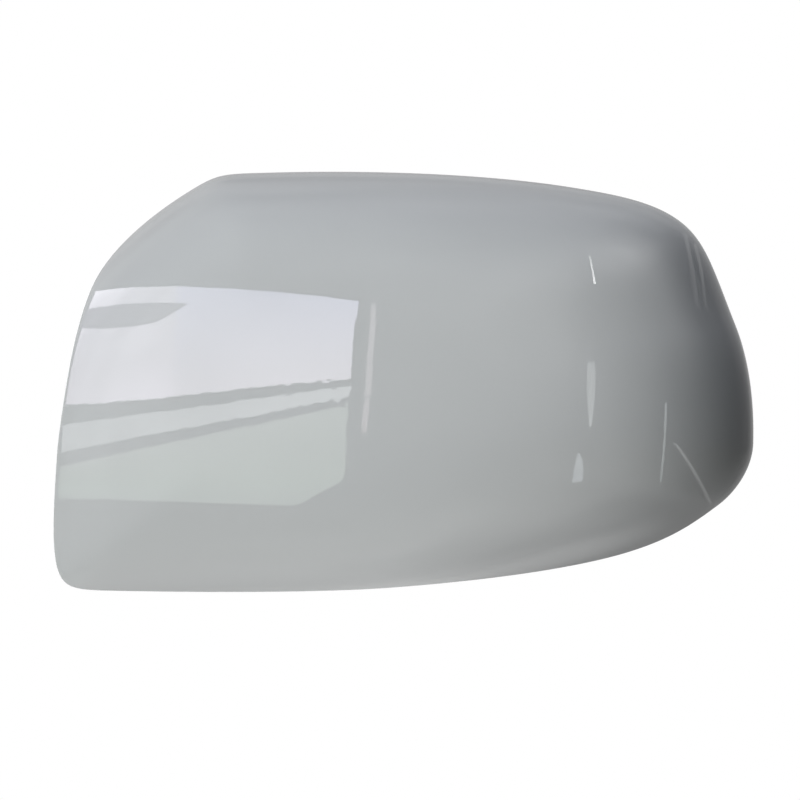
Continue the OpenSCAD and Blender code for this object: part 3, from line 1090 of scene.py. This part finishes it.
class COVER_OT_stage(Operator):
    """Set up the camera, the lamps, the pale floor and the room that shows in the paint"""

    bl_idname = "mirror_cover.stage"
    bl_label = "Stage"

    def execute(self, context):
        s, scene = settings().stage, context.scene
        scene.view_settings.view_transform = "Standard"
        aim = to_part(0.035, 0.080, 0.004)
        lens = bpy.data.cameras.new("camera")
        camera = bpy.data.objects.new("camera", lens)
        scene.collection.objects.link(camera)
        camera.location = aim - Vector((0, s.distance, 0))
        camera.rotation_euler = (radians(90), 0, 0)
        lens.sensor_width = 36.0
        lens.lens = PICTURE_SCALE / PICTURE_SIZE * lens.sensor_width
        lens.shift_x = 0.5 - PICTURE_CENTRE[0] / PICTURE_SIZE
        lens.shift_y = PICTURE_CENTRE[1] / PICTURE_SIZE - 0.5
        scene.camera = camera

        self.backdrop(scene)
        self.floor(s)
        self.lamps(scene, s)
        self.room()
        self.panes(camera.location, s)
        return {"FINISHED"}

    @staticmethod
    def backdrop(scene):
        """A world that shows white and gives no light of its own."""
        world = bpy.data.worlds.new("studio")
        scene.world = world
        world.use_nodes = True
        graph = Graph(world.node_tree)
        path = graph.node("ShaderNodeLightPath").socket.node
        seen = Socket(graph, path.outputs["Is Camera Ray"])
        for name in ("Is Glossy Ray", "Is Transmission Ray"):
            seen = seen.above(Socket(graph, path.outputs[name]))
        given = {"Color": (1, 1, 1, 1), "Strength": seen}
        white = graph.node("ShaderNodeBackground", given=given)
        graph.tree.links.new(white.socket, graph.tree.nodes["World Output"].inputs["Surface"])

    @staticmethod
    def floor(s):
        """A pale floor under the object that keeps its shadow and fades into the backdrop."""
        side, front, back = 1.6, -1.6, 1.4
        corners = ((-side, front), (side, front), (side, back), (-side, back))
        points = [(x, y, -s.floor_drop) for x, y in corners]
        floor = mesh_object("floor", points, [(0, 1, 2, 3)])
        made = Finish("pale_floor")
        grey = made.noise(9.0, 3.0).ramp(0.2, 0.8)
        made.feed(
            Base_Color=made.mixed(grey, (0.80, 0.80, 0.79), (0.83, 0.83, 0.82)),
            Roughness=made.noise(25.0, 3.0) * 0.1 + 0.8,
        )
        place = made.node("ShaderNodeTexCoord", output="Object")
        way_off = made.vector("LENGTH", made.vector("MULTIPLY", place, (1, 1, 0)), output="Value")
        seen = made.node("ShaderNodeLightPath", output="Is Camera Ray")
        white = made.node("ShaderNodeEmission")
        plain = Socket(made, made.shader.outputs[0])
        fade_from, fade_to = 0.5, 1.3
        share = seen * way_off.ramp(fade_from, fade_to)
        both = made.node("ShaderNodeMixShader", given={0: share, 1: plain, 2: white})
        made.tree.links.new(both.socket, made.tree.nodes["Material Output"].inputs["Surface"])
        floor.data.materials.append(made.material)
        floor.visible_glossy = floor.visible_shadow = floor.visible_diffuse = False

    @staticmethod
    def lamps(scene, s):
        """Soft lamps round the object, each from a direction with its own strength."""
        for name, azimuth, height, size, watts, colour in LAMPS:
            way = direction(azimuth, height)
            lamp = bpy.data.lights.new(name, "AREA")
            lamp.shape = "SQUARE"
            lamp.size = size
            lamp.energy = watts * s.level
            lamp.color = colour
            obj = bpy.data.objects.new(name, lamp)
            scene.collection.objects.link(obj)
            obj.location = way * s.lamp_distance
            obj.rotation_euler = way.to_track_quat("Z", "Y").to_euler()
            obj.visible_glossy = obj.visible_camera = False

    @staticmethod
    def panes(eye, s):
        """Panes of light, shaped by following the lines of sight that the paint mirrors."""
        material = glow("mirrored_light")
        steps = 24
        streaks = {
            name: ([((a, v), (b, v)) for a, b, v in rows], (upper, lower, 1.0))
            for name, (rows, upper, lower) in STREAKS.items()
        }
        for name, (rows, (upper, lower, left)) in (PANES | streaks).items():
            points, light = [], []
            nearer = s.room * NEARER.get(name, NEARER_ELSEWHERE)
            for j in np.linspace(0, 1, steps + 1):
                for i in np.linspace(0, 1, steps + 1):
                    row = [through([np.array(p, float) for p in r], i) for r in rows]
                    hit, mirrored = Rim.mirror(eye, picture_ray(*through(row, j)))
                    points.append(hit + mirrored * (s.room - nearer))
                    level = np.array(upper) * (1 - j) + np.array(lower) * j
                    light.append(level * (1 - (1 - left) * (1 - i) ** 3))
            only_mirrored(mesh_object(name, points, grid_faces(steps, steps)), light, material)

    @staticmethod
    def room():
        """Walls that show in the paint: dark to the right, dim behind, light elsewhere."""
        across, up, pole = 90, 44, 89.9
        points, light = [], []
        for h in np.linspace(-pole, pole, up + 1):
            for a in np.linspace(0, 360, across + 1):
                way = direction(a, h)
                x, y, z = way
                points.append(ROOM_RADIUS * way)
                level = y * y * (1.0 if y < 0 else LEVEL_BEHIND) + x * x * (x < 0)
                level += LEVEL_ABOVE * z * z if z > 0 else LEVEL_BELOW * z**4
                level += sum(
                    bright * exp(tight * (way.dot(direction(*at)) - 1))
                    for at, tight, bright in WALL_LIGHTS
                )
                light.append([level] * 3)
        room = mesh_object("room", points, grid_faces(up, across))
        only_mirrored(room, light, glow("wall_light"))


class COVER_PT_panel(Panel):
    """The cover's pieces and their sizes"""

    bl_label = "Mirror Cover"
    bl_idname = "COVER_PT_panel"
    bl_space_type = "VIEW_3D"
    bl_region_type = "UI"
    bl_category = "Mirror Cover"

    def draw(self, context):
        for piece in PIECES:
            self.layout.operator(piece.bl_idname)
        for group in ("shape", "fittings", "finish", "stage"):
            box = self.layout.box()
            values = getattr(settings(), group)
            for name in values.bl_rna.properties.keys():
                if name not in ("rna_type", "name"):
                    box.prop(values, name)


PIECES = (COVER_OT_shell, COVER_OT_ribs, COVER_OT_pegs, COVER_OT_hooks, COVER_OT_stage)
GROUPS = (CoverShape, FittingShape, CoverFinish, StageLook, CoverSettings)
CLASSES = (*GROUPS, *PIECES, COVER_PT_panel)


def register():
    for c in CLASSES:
        bpy.utils.register_class(c)
    bpy.types.Scene.mirror_cover = PointerProperty(type=CoverSettings)


def unregister():
    del bpy.types.Scene.mirror_cover
    for c in reversed(CLASSES):
        bpy.utils.unregister_class(c)


def main():
    register()
    bpy.ops.mirror_cover.shell()
    bpy.ops.mirror_cover.ribs()
    bpy.ops.mirror_cover.pegs()
    bpy.ops.mirror_cover.hooks()
    bpy.ops.mirror_cover.stage()


if __name__ == "__main__":
    main()
